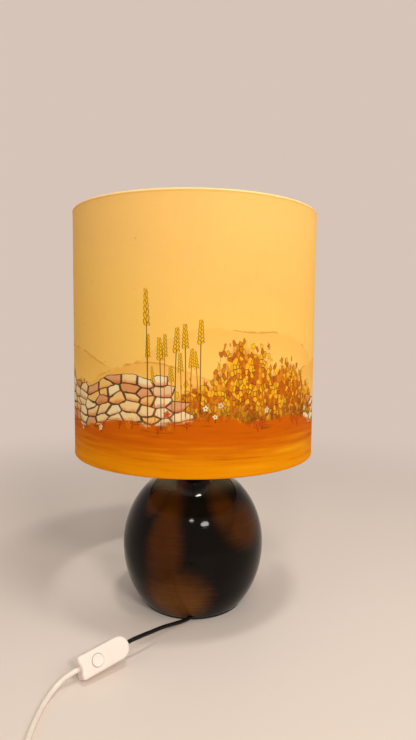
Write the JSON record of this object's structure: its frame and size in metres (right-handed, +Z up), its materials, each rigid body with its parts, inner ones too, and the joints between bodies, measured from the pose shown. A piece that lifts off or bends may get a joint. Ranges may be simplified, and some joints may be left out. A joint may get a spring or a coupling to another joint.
{
  "type": "table lamp",
  "caption": "Table lamp: a round glazed ceramic base, a screw lampholder with bulb, a painted drum shade that turns, and a cord with an in-line push switch and a plug.",
  "frame": {"origin": "on the table, under the middle of the foot", "axes": "+Z up along the lamp's axis, -Y towards the viewer and the side the cord leaves from"},
  "size_m": [0.35, 0.6155, 0.5712],
  "materials": {
    "glaze": "glossy, mottled black and brown glaze",
    "felt": "black felt",
    "black_rubber": "matte",
    "zinc": "zinc plated",
    "black_metal": "satin black",
    "black_holder": "black moulded plastic",
    "insulator": "unglazed",
    "contact_brass": "bright",
    "bulb_alloy": "rolled thread",
    "bulb_black": "black insulating glass",
    "opal_glass": "opal",
    "shade_cloth": "painted cloth on a stiff liner",
    "edge_wire": "drawn wire",
    "white_metal": "white coating",
    "white_plastic": "warm white moulded plastic",
    "white_lead": "soft white sheath",
    "black_lead": "soft black sheath",
    "brown_lead": "wire insulation",
    "nickel": "nickel plated"
  },
  "bodies": {
    "base": {"base_ball": "glaze", "foot_felt": "felt", "cord_bush": "black_rubber", "crown_washer": "zinc", "crown_nut": "zinc", "threaded_tube": "zinc", "top_cap": "black_metal", "neck_spacer": "black_metal", "holder_cap": "black_holder", "holder_locknut": "zinc", "holder_core": "insulator", "centre_contact": "contact_brass", "side_contact": "contact_brass", "terminal_screws": "contact_brass", "holder_sleeve": "black_holder", "shade_ring_lower": "black_holder", "shade_ring_upper": "black_holder", "bulb_contact": "nickel", "bulb_insulator": "bulb_black", "bulb_cap": "bulb_alloy", "bulb_glass": "opal_glass", "switch_base": "white_plastic", "switch_cover": "white_plastic", "button_spring": "zinc", "switch_contacts": "contact_brass", "neutral_link": "contact_brass", "cord_clamps": "white_plastic", "switch_screws": "zinc", "inner_lead": "black_lead", "holder_wires": "brown_lead", "cord_black": "black_lead", "cord_white": "white_lead", "cord_coil": "white_lead", "coil_tie": "black_rubber", "cord_tail": "white_lead", "plug_boot": "white_lead", "plug_body": "white_plastic", "plug_pins": "nickel"},
    "shade": {"shade_skin": "shade_cloth", "shade_wire_top": "edge_wire", "shade_wire_bottom": "edge_wire", "shade_spider": "white_metal"},
    "button": {"switch_button": "white_plastic", "contact_bridge": "contact_brass"}
  },
  "joints": [
    {"name": "shade_turn", "type": "hinge", "parent": "base", "child": "shade", "pos_m": [0, 0, 0.272], "axis": [0, 0, 1], "continuous": true},
    {"name": "button_press", "type": "slide", "parent": "base", "child": "button", "axis": [-0.4839, 0.7208, -0.4963], "range_m": [0, 0.0025], "stiffness_N_per_m": 800, "springref_m": -0.001, "deforming": ["button_spring"]}
  ]
}
